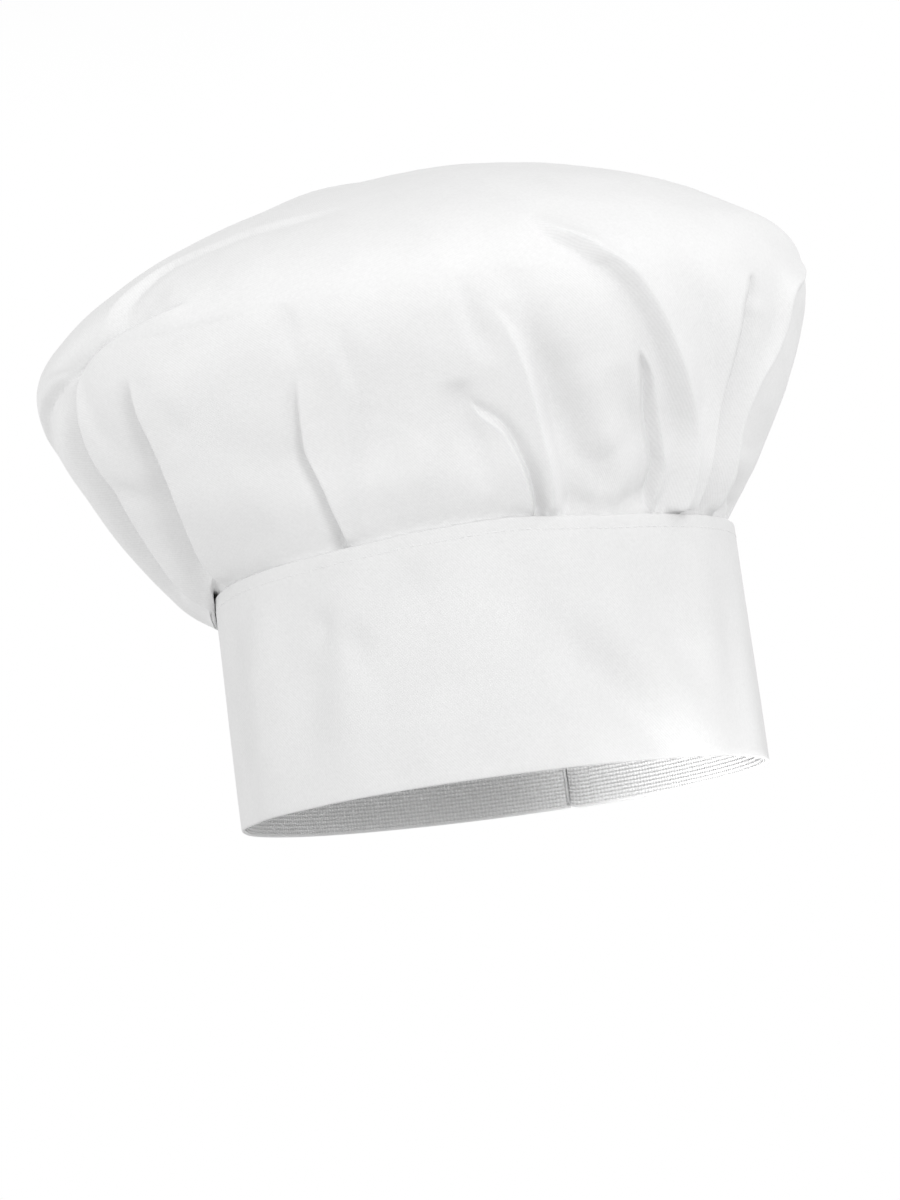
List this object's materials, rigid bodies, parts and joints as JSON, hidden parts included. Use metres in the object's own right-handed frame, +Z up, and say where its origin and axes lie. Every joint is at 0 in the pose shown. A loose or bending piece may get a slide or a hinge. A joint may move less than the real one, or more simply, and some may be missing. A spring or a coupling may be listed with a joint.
{
  "type": "chef toque",
  "caption": "Soft chef toque: a full floppy gathered crown on a stiff upright band that closes at the back with a hook-and-loop tab.",
  "frame": {"origin": "centre of the head opening, in the plane of the band's rim", "axes": "+Z up along the band's axis to the crown, -Y to the front, +X to the wearer's left and the viewer's right"},
  "size_m": [0.278, 0.268, 0.228],
  "materials": {
    "crown_cloth": "matte white twill",
    "band_cloth": "matte white twill",
    "interlining": "matte felted nonwoven",
    "lining": "matte nonwoven embossed with small dots",
    "tape": "matte plain weave",
    "loop_pile": "fuzzy looped pile",
    "hook_nylon": "stiff nylon hooks",
    "label": "smooth blank satin",
    "thread": "twisted sewing thread"
  },
  "bodies": {
    "hat": {"crown_panel": "crown_cloth", "band_outer": "band_cloth", "band_interlining": "interlining", "band_lining": "lining", "seam_tape": "tape", "slit_binding": "tape", "loop_strip": "loop_pile", "care_label": "label", "band_top_thread": "thread", "crown_seam_thread": "thread"},
    "tab": {"tab_outer": "band_cloth", "tab_interlining": "interlining", "tab_lining": "lining", "hook_strip": "hook_nylon", "tab_edge_thread": "thread"}
  },
  "joints": [
    {"name": "tab_peel", "type": "hinge", "parent": "hat", "child": "tab", "pos_m": [0.03007, 0.09254, 0], "axis": [0, 0, -1], "range_deg": [0, 90]}
  ]
}
